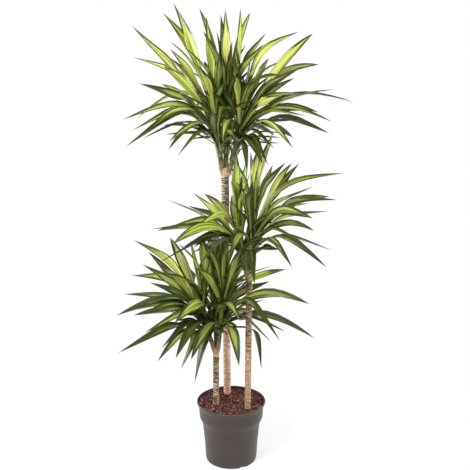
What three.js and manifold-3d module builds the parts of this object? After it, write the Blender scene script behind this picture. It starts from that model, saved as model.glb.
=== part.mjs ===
// Potted dracaena: three bare canes of different heights stand in one nursery pot, and each
// cane has sprouted two or three short shoots that end in a head of long arching leaves.
//
// Millimetres, +Z up, +X to the right and +Y away from the viewer. The origin is on the pot's
// axis, in the plane that the pot stands on.

import * as THREE from 'three';
import { mergeVertices } from 'three/addons/utils/BufferGeometryUtils.js';
import Module from 'manifold-3d';

const wasm = await Module();
wasm.setup();

// ---- Driving dimensions ----

const GAP = 0.3; // between pieces that touch

// Pot: 27 cm across the lip, 25 cm high, injection moulded in one shot.
const POT = {
  wall: 2.2,
  sides: 32,
  footHeight: 8, // the floor is carried this high on the foot ring
  floor: 3,
  footInner: 86, // radius inside the foot ring
  pad: 30, // radius of the round pad in the middle of the underside
  draft: 2, // by which the pad and the foot ring widen towards the floor
  drains: 6,
  drainRadius: 6,
  drainSides: 8,
  drainCircle: 58,
  notches: 3, // gaps in the foot ring that let the water out
  notchTurn: 0.465, // as a share of the step between two, so that one sits as in the photo
  notchWidth: 18,
  notchHeight: 5,
};
// Outside of the wall from the foot up: [radius, height]. A straight taper, a shoulder,
// a collar to grip and a flared lip.
const POT_WALL = [
  [99, 0], [101.5, 7], [105, 74], [113, 158], [125, 183], [127, 226], [134, 238], [135, 247],
];
const FOOT_CORNERS = 2; // the first corners of the wall, which round off its foot

// Soil: bark and coco fibre, filled to a finger's width under the lip.
const SOIL = { top: 234, lump: 6, rings: 5, seed: 7 };
const HOLE = { clearance: 1, rings: 4, share: 0.5 }; // share of the shortest cane that it takes

// Canes, from the foot of the planting hole up. A shoot breaks from the top of a cane: bare and
// ringed up to its knee, and wrapped in leaf bases from the knee to its top.
const CANE_SIDES = 8;
const SCAR_SPACING = 60; // between the ring scars of fallen leaves
const SCAR_DEPTH = 0.8;
const CALLUS = { swell: 0.3, rings: 2 }; // the swelling at the cut top of a cane
// Shoots: radius of the bare part, and of the wrapped part at the knee and at the top.
const SHOOT = { radius: 9, rings: 4, wrapped: 12, end: 5, wrappedRings: 2 };
const KNEE = 0.36; // share of a shoot's length
const HEART = 0.84; // share from which the tips of the leaves are measured
const ROOTS = { oldest: 0.42, youngest: 0.98 }; // shares where leaves grow
const CANES = {
  tall: { radius: 14.5, path: [[-14, 80, 84], [-18, 90, 500], [-20, 89, 900], [-23, 88, 1160]] },
  middle: { radius: 12, path: [[64, -48, 84], [66, -48, 450], [69, -48, 782]] },
  short: { radius: 12, path: [[-60, -13, 84], [-59, -13, 300], [-58, -13, 478]] },
};

// Leaves. The lift of a leaf is the angle of the line from its root to its tip over level.
const LEAF = {
  chord: 340, // from root to tip
  thickness: 1.6, // at the midrib
  fold: 0.16, // depth of the fold along the midrib, as a share of the width
  clearance: 1.5, // kept to the canes and to the leaves of other heads
  sink: 3, // of the root under the skin of the shoot
  young: 80, // lift of a leaf that grows at the top
  old: -30, // and of one that grows lowest
};
// Leaves that fill a head. Chords are shares of LEAF.chord, and bows are shares of the chord.
const FILLER = {
  shortest: 0.8,
  chordSpread: 0.15,
  bow: [0.05, 0.18], // young and old
  bowSpread: 0.3,
  width: [25, 34],
  twist: 30,
};
// Stations along a leaf, and its width there as a share of its widest.
const LEAF_STATIONS = [0, 0.18, 0.5, 0.82, 1];
const LEAF_PROFILE = [0.25, 0.66, 1, 0.7, 0];
const GOLDEN_ANGLE = 137.5;
// How far a leaf may be bent clear, in the order that it is tried, in degrees.
const LEANS = [0, 6, -6, 12, -12];
const SWINGS = [0, 6, -6, 12, -12, 18, -18, 24, -24, 30, -30];

// Heads. shoot is the path of the shoot: foot inside the cane, knee and top. sector is the
// middle and the half width, in degrees, of the directions that the head's leaves fill, lifts
// are those of its youngest and oldest, and count is how many leaves it has. leaves are those
// that stand out from the mass: [right, back, up] from the heart of the head to the tip, the bow
// of the midrib at its middle, the width, and the twist of the blade in degrees.
const HEADS = {
  tall_left: {
    cane: 'tall', shoot: [[-33, 84, 1140], [-42, 79, 1222], [-62, 70, 1370]],
    sector: [190, 115], lifts: [75, -12], count: 26, seed: 11,
    leaves: [
      [-155, 110, 430, 25, 36, -40], [-220, 90, 395, 40, 36, -40], [-305, 60, 350, 5, 34, -50],
      [-180, -60, 207, 10, 38, -60], [-360, 30, 230, 80, 26, -60], [-175, 180, 262, 20, 30, -10],
      [-190, 140, 232, 15, 28, -20], [-285, -60, 10, 140, 22, -30], [-330, -60, 15, 95, 32, -40],
      [-240, -110, 22, 70, 30, -20], [-205, 120, 135, 20, 28, -30], [-310, -170, -60, 105, 36, -40],
      [-300, -140, 0, 80, 30, -30], [-190, -150, -38, 65, 34, -10], [-160, -130, -85, 75, 30, -10],
      [-130, -110, -110, 75, 26, -10], [-35, 110, 383, 15, 32, 0],
    ],
  },
  tall_back: {
    cane: 'tall', shoot: [[-20, 97, 1140], [-18, 103, 1225], [-10, 118, 1385]],
    sector: [90, 165], lifts: [80, -5], count: 24, seed: 12,
    leaves: [
      [-105, 90, 398, 15, 30, 0], [-40, 60, 316, 10, 28, 20], [-25, 50, 376, 10, 30, 0],
      [15, 80, 386, 12, 34, 0], [45, 20, 395, -15, 28, 20], [100, 70, 398, 20, 26, 10],
      [115, 60, 324, 20, 30, 20], [30, -250, -50, 35, 30, 0], [120, -260, -122, 50, 34, 0],
    ],
  },
  tall_right: {
    cane: 'tall', shoot: [[-13, 83, 1132], [14, 74, 1218], [40, 62, 1360]],
    sector: [345, 115], lifts: [75, -12], count: 25, seed: 13,
    leaves: [
      [220, 110, 337, 80, 32, 40], [270, 110, 330, 30, 34, 50], [315, 60, 217, 70, 30, 50],
      [205, 120, 170, 35, 28, 40], [240, -60, 120, 70, 30, 30], [425, 60, 80, 90, 24, 30],
      [320, -130, 27, 85, 32, 20], [255, -120, 55, 60, 30, 20], [290, 60, 40, 60, 32, 40],
      [190, -100, -29, 60, 34, 10], [215, -140, -50, 85, 32, 10], [115, -110, -42, 60, 30, 0],
      [80, -150, -115, 75, 30, 0],
    ],
  },
  middle_left: {
    cane: 'middle', shoot: [[63, -50, 765], [50, -54, 838], [28, -60, 955]],
    sector: [210, 105], lifts: [35, -12], count: 22, seed: 14,
    leaves: [
      [-170, 60, 157, 10, 26, -30], [-120, 80, 151, 10, 30, -30], [-285, -60, 48, 75, 28, -40],
      [-255, -90, 44, 65, 26, -30], [-280, -130, 35, 75, 36, -40], [-200, -120, 2, 55, 28, -30],
      [-150, -110, -8, 45, 28, -10], [-170, -100, 57, 85, 30, -30], [-30, 60, 252, 10, 24, 20],
      [-10, 90, 304, 10, 34, 10],
    ],
  },
  middle_right: {
    cane: 'middle', shoot: [[73, -47, 768], [76, -48, 842], [80, -50, 975]],
    sector: [0, 130], lifts: [75, -10], count: 25, seed: 15,
    leaves: [
      [20, 70, 296, 0, 36, 0], [75, 60, 364, 10, 24, 20], [75, 90, 236, 10, 26, 30],
      [145, 90, 243, 20, 24, 30], [175, 110, 240, 25, 32, 40], [335, 60, 215, 85, 24, 40],
      [285, 70, 125, 55, 34, 40], [305, 0, 125, 70, 28, 30], [265, -60, 95, 45, 30, 20],
      [225, 40, 5, 60, 28, 40], [180, -100, -11, 65, 24, 10], [270, -170, -77, 75, 34, 10],
      [190, -160, -64, 65, 32, 0], [90, -40, -50, 10, 26, 40],
    ],
  },
  short_left: {
    cane: 'short', shoot: [[-64, -14, 462], [-84, -17, 528], [-110, -21, 640]],
    sector: [190, 115], lifts: [60, -20], count: 23, seed: 16,
    leaves: [
      [-265, 60, 279, 50, 28, -40], [-140, 90, 276, 15, 32, -40], [-215, 110, 218, 15, 28, -30],
      [-210, 90, 195, 20, 34, -30], [-50, 60, 279, 0, 16, 0], [-335, 40, 103, 80, 32, -50],
      [-295, 0, 85, 50, 28, -40], [-310, -120, 39, 75, 30, -40], [-195, -90, 84, 50, 30, -20],
      [-215, -100, 49, 55, 28, -20], [-250, -110, 25, 65, 32, -20], [-300, -180, -79, 40, 36, -20],
      [-195, -170, -89, 45, 34, 0], [-145, -170, -60, 50, 30, 0],
    ],
  },
  short_back: {
    cane: 'short', shoot: [[-57, -5, 462], [-60, 2, 540], [-66, 16, 670]],
    sector: [90, 150], lifts: [80, -10], count: 18, seed: 17,
    leaves: [
      [-45, 60, 262, 0, 30, -10], [25, 90, 232, 5, 34, 0], [75, 70, 243, 10, 34, 20],
      [120, 90, 188, 10, 32, 20], [-135, -200, 4, 65, 38, -20], [-180, -240, -94, 55, 36, 0],
    ],
  },
  short_right: {
    cane: 'short', shoot: [[-52, -19, 462], [-42, -22, 540], [-30, -26, 680]],
    sector: [330, 120], lifts: [75, -15], count: 19, seed: 18,
    leaves: [
      [-130, -230, -108, 60, 30, 0], [-95, -220, -207, 85, 34, 0], [60, -180, -160, 70, 32, 0],
      [145, 60, -283, 80, 30, 0], [205, -200, -54, 120, 34, 0], [355, 80, -157, 60, 30, 40],
      [335, -80, 70, 65, 32, 30], [180, 100, 70, 25, 34, 40],
    ],
  },
};

// ---- Helpers ----

const radians = THREE.MathUtils.degToRad;
const degrees = THREE.MathUtils.radToDeg;

// The same fixed sequence of numbers from 0 to 1 on every run.
function randomFrom(seed) {
  let state = seed >>> 0;
  return () => {
    state = (Math.imul(state, 1664525) + 1013904223) >>> 0;
    return state / 4294967296;
  };
}

// Welds a mesh's corners and drops the triangles that have shrunk to nothing at a pole.
function weld(geometry) {
  const bare = geometry.clone();
  bare.deleteAttribute('normal');
  bare.deleteAttribute('uv');
  const welded = mergeVertices(bare, 1e-4);
  const kept = [];
  const corners = welded.index.array;
  for (let i = 0; i < corners.length; i += 3) {
    const [a, b, c] = corners.slice(i, i + 3);
    if (a !== b && b !== c && c !== a) kept.push(a, b, c);
  }
  welded.setIndex(kept);
  return welded;
}

function toSolid(geometry) {
  const welded = weld(geometry);
  return new wasm.Manifold(new wasm.Mesh({
    numProp: 3,
    vertProperties: new Float32Array(welded.attributes.position.array),
    triVerts: new Uint32Array(welded.index.array),
  }));
}

function toGeometry(solid) {
  const mesh = solid.getMesh();
  const geometry = new THREE.BufferGeometry();
  geometry.setAttribute('position', new THREE.BufferAttribute(mesh.vertProperties, 3));
  geometry.setIndex(new THREE.BufferAttribute(mesh.triVerts, 1));
  geometry.computeVertexNormals();
  return geometry;
}

// A turned body from its outline of [radius, height] points.
function lathe(outline) {
  const points = outline.map(([radius, height]) => new THREE.Vector2(radius, height));
  return new THREE.LatheGeometry(points, POT.sides).rotateX(Math.PI / 2);
}

// A closed skin over rings that all have the same even number of points. A last ring of one
// point is a tip. The diagonals turn about, so that those over and under a blade match.
function skin(rings) {
  const sides = rings[0].length;
  const last = rings.length - 1;
  const pointed = rings[last].length === 1;
  const at = (ring, k) => ring * sides + (k % sides);
  const triangles = [];
  for (let ring = 0; ring < last; ring += 1) {
    for (let k = 0; k < sides; k += 1) {
      const [a, b] = [at(ring, k), at(ring, k + 1)];
      const [c, d] = [at(ring + 1, k), at(ring + 1, k + 1)];
      if (pointed && ring === last - 1) triangles.push(a, b, last * sides);
      else if (k % 2 === 0) triangles.push(a, b, d, a, d, c);
      else triangles.push(a, b, c, b, d, c);
    }
  }
  for (let k = 2; k < sides; k += 1) {
    triangles.push(0, k, k - 1);
    if (!pointed) triangles.push(at(last, 0), at(last, k - 1), at(last, k));
  }
  const geometry = new THREE.BufferGeometry().setFromPoints(rings.flat());
  geometry.setIndex(triangles);
  return geometry;
}

const pathThrough = (points) => new THREE.CatmullRomCurve3(
  points.map((point) => new THREE.Vector3(...point)),
);

// A limb along a curve, between two shares of its length. radiusAt gives the radius of each
// ring from its number.
function limb(curve, from, to, steps, radiusAt) {
  const rings = [];
  for (let i = 0; i <= steps; i += 1) {
    const share = from + ((to - from) * i) / steps;
    const centre = curve.getPointAt(share);
    const along = curve.getTangentAt(share);
    const across = new THREE.Vector3(0, 1, 0).cross(along).normalize();
    const other = along.clone().cross(across);
    rings.push(Array.from({ length: CANE_SIDES }, (_, k) => {
      const turn = (2 * Math.PI * (k + 0.5)) / CANE_SIDES;
      return centre.clone()
        .addScaledVector(across, radiusAt(i) * Math.cos(turn))
        .addScaledVector(other, radiusAt(i) * Math.sin(turn));
    }));
  }
  return skin(rings);
}

// ---- Pot ----

function makePot() {
  const floor = POT.footHeight + POT.floor;
  const ringWidth = POT_WALL[1][0] - POT.footInner;
  const inside = POT_WALL.slice(FOOT_CORNERS).map(([radius, height]) => [radius - POT.wall, height]);
  let pot = toSolid(lathe([
    [0, 0], [POT.pad, 0], [POT.pad + POT.draft, POT.footHeight],
    [POT.footInner, POT.footHeight], [POT.footInner + POT.draft, 0],
    ...POT_WALL,
    ...inside.reverse(),
    [POT_WALL[1][0] - POT.wall, floor], [0, floor],
  ]));
  for (let i = 0; i < POT.drains; i += 1) {
    const turn = (2 * Math.PI * (i + 0.5)) / POT.drains;
    const { drainRadius, drainSides, drainCircle } = POT;
    const hole = new THREE.CylinderGeometry(drainRadius, drainRadius, 2 * floor, drainSides);
    hole.rotateX(Math.PI / 2).translate(drainCircle, 0, floor).rotateZ(turn);
    pot = pot.subtract(toSolid(hole));
  }
  for (let i = 0; i < POT.notches; i += 1) {
    const turn = (2 * Math.PI * (i + POT.notchTurn)) / POT.notches;
    const notch = new THREE.BoxGeometry(2 * ringWidth, POT.notchWidth, 2 * POT.notchHeight);
    notch.translate(POT.footInner + ringWidth / 2, 0, 0).rotateZ(turn);
    pot = pot.subtract(toSolid(notch));
  }
  return toGeometry(pot);
}

// ---- Soil ----

// Radius outside the pot's wall at a height.
function wallRadius(height) {
  const above = POT_WALL.findIndex(([, corner]) => corner > height);
  const [[lowRadius, low], [highRadius, high]] = POT_WALL.slice(above - 1, above + 1);
  return THREE.MathUtils.mapLinear(height, low, high, lowRadius, highRadius);
}

// It fills the pot to just under the lip. Its top is lumpy, and each cane stands in a plain hole.
function makeSoil() {
  const floor = POT.footHeight + POT.floor + GAP;
  const inset = POT.wall + GAP;
  const wall = POT_WALL.slice(FOOT_CORNERS).filter(([, height]) => height < SOIL.top);
  const edge = wallRadius(SOIL.top) - inset;
  const outline = [
    [0, floor], [POT_WALL[1][0] - inset, floor],
    ...wall.map(([radius, height]) => [radius - inset, height]),
  ];
  for (let i = 0; i <= SOIL.rings; i += 1) {
    outline.push([edge * (1 - i / SOIL.rings), SOIL.top]);
  }
  const body = weld(lathe(outline));
  const random = randomFrom(SOIL.seed);
  const { position } = body.attributes;
  for (let i = 0; i < position.count; i += 1) {
    const inside = Math.hypot(position.getX(i), position.getY(i)) < edge - 1;
    if (inside && position.getZ(i) > SOIL.top - 1) {
      position.setZ(i, SOIL.top + SOIL.lump * (random() - 0.5));
    }
  }
  let soil = toSolid(body);
  const depth = HOLE.share * pathThrough(CANES.short.path).getLength();
  for (const { path, radius } of Object.values(CANES)) {
    const curve = pathThrough(path);
    const hole = limb(curve, 0, depth / curve.getLength(), HOLE.rings, () => radius + HOLE.clearance);
    soil = soil.subtract(toSolid(hole.translate(0, 0, -GAP)));
  }
  return toGeometry(soil);
}

// ---- Canes ----

const scarred = (radius) => (i) => radius - (i % 2) * SCAR_DEPTH;

// The bare wood: a ringed cane that swells at its cut top, and the ringed part of its shoots.
function makeCane(name) {
  const { radius, path } = CANES[name];
  const curve = pathThrough(path);
  const steps = Math.round(curve.getLength() / SCAR_SPACING) * 2;
  const ring = scarred(radius);
  const swelling = (i) => 1 + CALLUS.swell * Math.max(0, 1 - (steps - i) / CALLUS.rings);
  let cane = toSolid(limb(curve, 0, 1, steps, (i) => ring(i) * swelling(i)));
  for (const head of Object.values(HEADS).filter((each) => each.cane === name)) {
    const shoot = pathThrough(head.shoot);
    cane = cane.add(toSolid(limb(shoot, 0, KNEE, SHOOT.rings, scarred(SHOOT.radius))));
  }
  return toGeometry(cane);
}

// ---- Leaves ----

const UP = new THREE.Vector3(0, 0, 1);
const shootPoint = (head, share) => pathThrough(HEADS[head].shoot).getPointAt(share);
const shootRadius = (share) => THREE.MathUtils.mapLinear(share, KNEE, 1, SHOOT.wrapped, SHOOT.end);

// Older leaves hang lower, and grow lower down on the shoot.
function rootShare(lift) {
  const youth = THREE.MathUtils.mapLinear(lift, LEAF.old, LEAF.young, 0, 1);
  return THREE.MathUtils.lerp(ROOTS.oldest, ROOTS.youngest, THREE.MathUtils.clamp(youth, 0, 1));
}

const liftOf = (reach) => degrees(Math.atan2(reach.z, Math.hypot(reach.x, reach.y)));
const turnOf = (reach) => degrees(Math.atan2(reach.y, reach.x));

// A leaf that stands out, from its row.
function leafOf(head, [right, back, up, bow, width, twist]) {
  const offset = new THREE.Vector3(right, back, up);
  const share = rootShare(liftOf(offset));
  const reach = offset.add(shootPoint(head, HEART)).sub(shootPoint(head, share));
  return {
    head, share, lift: liftOf(reach), turn: turnOf(reach), chord: reach.length(), bow, width, twist,
  };
}

// A leaf that fills the head. They follow each other round by the golden angle, squeezed into
// the head's sector, and from young and upright to old and hanging.
function fillingLeaf(head, number, total, random) {
  const { lerp } = THREE.MathUtils;
  const age = (number + 0.5) / total;
  const { sector: [middle, spread], lifts: [young, old] } = HEADS[head];
  const lift = lerp(young, old, age);
  const round = (number * GOLDEN_ANGLE) % 360;
  const eitherWay = () => 2 * random() - 1;
  const size = lerp(FILLER.shortest, 1, Math.sin(Math.PI * age));
  const chord = LEAF.chord * size * (1 + FILLER.chordSpread * eitherWay());
  return {
    head,
    share: rootShare(lift),
    lift,
    turn: middle + spread * (round / 180 - 1),
    chord,
    bow: chord * lerp(...FILLER.bow, age) * (1 + FILLER.bowSpread * eitherWay()),
    width: lerp(...FILLER.width, random()),
    twist: FILLER.twist * eitherWay(),
  };
}

// The rings of a blade: a folded strip along the midrib, with room around it where it has to be
// kept clear of others.
function bladeRings({ head, share, lift, turn, chord, bow, width, twist }, room = 0) {
  const out = new THREE.Vector3(Math.cos(radians(turn)), Math.sin(radians(turn)), 0);
  const side = UP.clone().cross(out);
  const reach = out.clone().applyAxisAngle(side, -radians(lift));
  const rise = out.clone().applyAxisAngle(side, -radians(lift + 90));
  const root = shootPoint(head, share).addScaledVector(out, shootRadius(share) - LEAF.sink);
  const tip = root.clone().addScaledVector(reach, chord);
  const bend = root.clone().addScaledVector(reach, chord / 2).addScaledVector(rise, 2 * bow);
  const midrib = new THREE.QuadraticBezierCurve3(root, bend, tip);
  return LEAF_STATIONS.map((station, i) => {
    const centre = midrib.getPoint(station);
    if (station === 1) return [centre];
    const along = midrib.getTangent(station);
    const across = side.clone().applyAxisAngle(along, radians(twist) * Math.min(1, 2 * station));
    const face = along.clone().cross(across);
    const half = (width * LEAF_PROFILE[i]) / 2 + room;
    const thick = LEAF.thickness / 2 + room;
    const edge = centre.clone().addScaledVector(face, LEAF.fold * 2 * half);
    return [
      edge.clone().addScaledVector(across, half),
      centre.clone().addScaledVector(face, thick),
      edge.clone().addScaledVector(across, -half),
      centre.clone().addScaledVector(face, -thick),
    ];
  });
}

// What a crossing test reads of a mesh.
function guard(geometry) {
  const { position } = geometry.attributes;
  const points = Array.from({ length: position.count }, (_, i) => (
    new THREE.Vector3().fromBufferAttribute(position, i)
  ));
  const corners = [...geometry.index.array];
  const faces = [];
  const edges = [];
  for (let i = 0; i < corners.length; i += 3) {
    const [a, b, c] = corners.slice(i, i + 3);
    faces.push([points[a], points[b], points[c]]);
    for (const [from, to] of [[a, b], [b, c], [c, a]]) {
      if (from < to) edges.push([points[from], points[to]]);
    }
  }
  return { faces, edges, box: new THREE.Box3().setFromPoints(points) };
}

// Whether an edge of one mesh goes through a face of the other.
function pierces(one, other) {
  const ray = new THREE.Ray();
  const hit = new THREE.Vector3();
  const span = new THREE.Box3();
  for (const [from, to] of one.edges) {
    if (!span.setFromPoints([from, to]).intersectsBox(other.box)) continue;
    ray.origin.copy(from);
    ray.direction.subVectors(to, from).normalize();
    for (const [a, b, c] of other.faces) {
      const met = ray.intersectTriangle(a, b, c, false, hit);
      if (met && hit.distanceTo(from) < from.distanceTo(to)) return true;
    }
  }
  return false;
}

const cross = (one, other) => one.box.intersectsBox(other.box)
  && (pierces(one, other) || pierces(other, one));

// Places every leaf, and bends it a few degrees at a time until it is clear of the canes and of
// the leaves of the other heads, and if it can be, also of its own head's leaves past their
// crowded roots. The leaves that stand out come first.
function placeLeaves() {
  const taken = Object.keys(CANES).map((name) => ({ whole: guard(makeCane(name)) }));
  for (const head of Object.keys(HEADS)) taken.push({ head, whole: guard(coreOf(head)) });
  const placed = [];
  const crossed = (trial, each) => (each.head !== trial.head
    ? cross(trial.whole, each.whole)
    : each.outer && cross(trial.outer, each.outer));
  const tryOut = (leaf, others) => {
    for (const lean of LEANS) {
      for (const swing of SWINGS) {
        const bent = { ...leaf, lift: leaf.lift + lean, turn: leaf.turn + swing };
        const rings = bladeRings(bent, LEAF.clearance / 2);
        const trial = {
          head: leaf.head, whole: guard(skin(rings)), outer: guard(skin(rings.slice(1))),
        };
        if (!others.some((each) => crossed(trial, each))) {
          taken.push(trial);
          placed.push(bent);
          return true;
        }
      }
    }
    return false;
  };
  const place = (leaf) => tryOut(leaf, taken)
    || tryOut(leaf, taken.filter((each) => each.head !== leaf.head));
  for (const [head, { leaves }] of Object.entries(HEADS)) {
    for (const row of leaves) place(leafOf(head, row));
  }
  for (const [head, { leaves, count, seed }] of Object.entries(HEADS)) {
    const random = randomFrom(seed);
    const missing = count - leaves.length;
    for (let i = 0; i < missing; i += 1) place(fillingLeaf(head, i, missing, random));
  }
  return placed;
}

// ---- Heads ----

// The stem inside a head, which the leaf bases wrap.
function coreOf(head) {
  const shoot = pathThrough(HEADS[head].shoot);
  const start = KNEE + GAP / shoot.getLength();
  const steps = SHOOT.wrappedRings;
  return limb(shoot, start, 1, steps, (i) => shootRadius(KNEE + (1 - KNEE) * (i / steps)));
}

// The largest closed shell of a solid: no loose scrap, and no hollow sealed between leaves.
function outerShell(solid) {
  const shells = solid.decompose();
  return shells.reduce((best, each) => (each.volume() > best.volume() ? each : best));
}

function makeHead(head, leaves) {
  let solid = toSolid(coreOf(head));
  for (const leaf of leaves) solid = solid.add(toSolid(skin(bladeRings(leaf))));
  return toGeometry(outerShell(solid));
}

// ---- The plant ----

const MATERIALS = {
  pot: { color: 0x5b5552, roughness: 0.55, metalness: 0 },
  soil: { color: 0x4a2f27, roughness: 1, metalness: 0 },
  cane: { color: 0xb08a6a, roughness: 0.85, metalness: 0 },
  leaf: { color: 0x5c8a2c, roughness: 0.4, metalness: 0 },
};

const group = new THREE.Group();
function addPiece(name, geometry, material) {
  const mesh = new THREE.Mesh(geometry, new THREE.MeshStandardMaterial(MATERIALS[material]));
  mesh.name = name;
  group.add(mesh);
}

addPiece('pot', makePot(), 'pot');
addPiece('soil', makeSoil(), 'soil');
for (const name of Object.keys(CANES)) addPiece(`cane_${name}`, makeCane(name), 'cane');
const leaves = placeLeaves();
for (const head of Object.keys(HEADS)) {
  const own = leaves.filter((leaf) => leaf.head === head);
  addPiece(`head_${head}`, makeHead(head, own), 'leaf');
}

export default group;
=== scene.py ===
# %% [markdown]
# # A potted dracaena
#
# Three bare canes of stepped heights stand in one nursery pot. Each has sprouted two or three
# shoots, and each shoot carries a head of long leaves, dark green with a lime band. The frame
# holds a plain solid for the pot, the soil, each cane and each head, in metres. Every step below
# makes the finer piece that is shown in place of one of them, and leaves it where the solid is.

# %% Load the frame
import math

import bpy
import numpy as np
from mathutils import Euler, Matrix, Vector
from mathutils.bvhtree import BVHTree
from mathutils.kdtree import KDTree


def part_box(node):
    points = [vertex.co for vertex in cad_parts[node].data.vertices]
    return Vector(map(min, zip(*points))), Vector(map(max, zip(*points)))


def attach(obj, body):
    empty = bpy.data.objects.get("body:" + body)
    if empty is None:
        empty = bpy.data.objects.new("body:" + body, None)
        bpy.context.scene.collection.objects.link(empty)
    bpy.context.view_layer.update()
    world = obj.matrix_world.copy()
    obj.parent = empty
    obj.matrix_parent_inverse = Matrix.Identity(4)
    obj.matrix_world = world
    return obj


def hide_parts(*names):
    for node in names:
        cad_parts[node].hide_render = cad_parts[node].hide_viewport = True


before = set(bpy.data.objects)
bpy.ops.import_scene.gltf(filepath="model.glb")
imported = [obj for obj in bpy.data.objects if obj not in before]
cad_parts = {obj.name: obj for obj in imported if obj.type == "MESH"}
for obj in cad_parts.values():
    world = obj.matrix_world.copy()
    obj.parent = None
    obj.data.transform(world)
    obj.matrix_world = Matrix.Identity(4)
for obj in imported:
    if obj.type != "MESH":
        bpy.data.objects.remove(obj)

MM = 0.001
UP = Vector((0, 0, 1))
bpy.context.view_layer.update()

# %% [markdown]
# ## Camera
#
# The photograph is taken from a little under the top of the plant, looking slightly down, from
# about three metres. From there the lip of the pot is an open ellipse and the lines of the canes
# stay upright. The pot stands a few pixels left of the middle, so the camera stands that far to
# the right, and no lens shift is needed.

# %% Camera
CAMERA_AT = (0.0152, -3.0, 1.674)
CAMERA_DOWN = 14.13  # degrees under level
CAMERA_LENS = 63.16  # millimetres, on a sensor 36 mm wide

facing = (math.radians(90 - CAMERA_DOWN), 0, 0)
bpy.ops.object.camera_add(location=CAMERA_AT, rotation=facing)
camera = bpy.context.object
camera.name = "camera"
camera.data.lens = CAMERA_LENS
camera.data.sensor_width = 36
bpy.context.scene.camera = camera
print("camera: lens", CAMERA_LENS, "mm")

# %% [markdown]
# ## Helpers for nodes and colours
#
# A finish is a small network of nodes. One helper feeds a node's inputs, one adds a node with its
# settings and its links, and one turns the hex colour that a designer would note down into the
# linear light that a shader reckons in.


# %% Node and colour helpers
def colour(code):
    """A hex sRGB colour as linear red, green, blue and alpha."""
    channels = [int(code[i:i + 2], 16) / 255 for i in (1, 3, 5)]
    linear = [c / 12.92 if c <= 0.04045 else ((c + 0.055) / 1.055) ** 2.4 for c in channels]
    return (*linear, 1.0)


def feed(node, links):
    """Feeds a node's live inputs, by name or number, with a value, an output, or another node,
    which then gives its first live output."""
    inputs = [socket for socket in node.inputs if socket.enabled]
    for name, source in links.items():
        by_name = [socket for socket in inputs if socket.name == name]
        socket = by_name[0] if by_name else inputs[name]
        if isinstance(source, bpy.types.Node):
            source = next(output for output in source.outputs if output.enabled)
        if isinstance(source, bpy.types.NodeSocket):
            node.id_data.links.new(source, socket)
        else:
            socket.default_value = source


def add(tree, kind, links=None, **settings):
    """Adds a node. settings are its properties, and links feed its inputs."""
    node = tree.nodes.new(kind)
    for name, value in settings.items():
        setattr(node, name, value)
    feed(node, links or {})
    return node


def new_material(name, roughness, ior=1.45):
    """A material with its node tree and its shader."""
    material = bpy.data.materials.new(name)
    material.use_nodes = True
    shader = material.node_tree.nodes["Principled BSDF"]
    feed(shader, {"Roughness": roughness, "IOR": ior})
    return material, material.node_tree, shader


# %% [markdown]
# ## Floor, background and light
#
# The plant is lit as in a studio with a white sweep: a large soft light high on the left, a
# weaker one on the right that draws the shine along the leaves, two low ones at the sides that
# brighten the sides of the pot, and one high behind. The surround is white to the camera but
# gives the plant only part of that light, so that the hearts of the heads stay dark. The floor is
# a wide disc. Near the pot it takes a faint shadow, and further out it melts into the white
# surround, so that no horizon shows from any side.

# %% Floor and light
FLOOR_RADIUS = 12.0
FLOOR_FADE = (0.15, 1.3)  # from shaded floor to white surround, metres from the pot
FLOOR_GLOW = 0.65  # share of the white surround that the shaded floor already has
SURROUND_LIGHT = 0.34
LIT_POINT = Vector((0, 0, 0.95))
LIGHTS = {  # name: (place, size in metres, watts)
    "key": ((-1.8, -2.4, 3.0), 1.3, 142),
    "fill": ((2.3, -2.0, 1.9), 1.3, 42),
    "left": ((-2.3, 0.7, 0.9), 1.1, 38),
    "right": ((2.3, 0.7, 0.9), 1.1, 30),
    "back": ((0.4, 2.6, 2.9), 1.5, 40),
}

bpy.ops.mesh.primitive_circle_add(vertices=96, radius=FLOOR_RADIUS, fill_type="NGON")
floor = bpy.context.object
floor.name = "floor"
sweep, tree, shader = new_material("matte white sweep", 0.9)
feed(shader, {"Base Color": colour("#f4f4f2")})
place = add(tree, "ShaderNodeTexCoord").outputs["Object"]
away = add(tree, "ShaderNodeVectorMath", {0: place}, operation="LENGTH")
span = {"Value": away, "From Min": FLOOR_FADE[0], "From Max": FLOOR_FADE[1], "To Min": FLOOR_GLOW}
fade = add(tree, "ShaderNodeMapRange", span, interpolation_type="SMOOTHSTEP")
white = add(tree, "ShaderNodeEmission", {"Color": (1, 1, 1, 1), "Strength": 1.0})
surface = add(tree, "ShaderNodeMixShader", {0: fade, 1: shader, 2: white})
feed(tree.nodes["Material Output"], {"Surface": surface})
floor.data.materials.append(sweep)

world = bpy.data.worlds.new("white surround")
world.use_nodes = True
bpy.context.scene.world = world
tree = world.node_tree
ray = add(tree, "ShaderNodeLightPath").outputs["Is Camera Ray"]
strength = add(tree, "ShaderNodeMapRange", {"Value": ray, "To Min": SURROUND_LIGHT})
feed(tree.nodes["Background"], {"Color": (1, 1, 1, 1), "Strength": strength})

for name, (place, size, watts) in LIGHTS.items():
    facing = (LIT_POINT - Vector(place)).to_track_quat("-Z", "Y").to_euler()
    bpy.ops.object.light_add(type="AREA", location=place, rotation=facing)
    lamp = bpy.context.object
    lamp.name = f"light_{name}"
    lamp.data.size = size
    lamp.data.energy = watts
bpy.context.scene.view_settings.view_transform = "Standard"
print("lights:", ", ".join(LIGHTS))

# %% [markdown]
# ## Helpers for shaping
#
# Operators act on whatever is selected, so one helper selects a piece alone.
#
# The pot, the soil, the canes and the shoots are all round in section. Each could be a lathe
# profile or a curve with a bevel, but pulling a disc from place to place and scaling it on the
# way makes every one of them with the same two moves, and leaves it closed.


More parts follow.
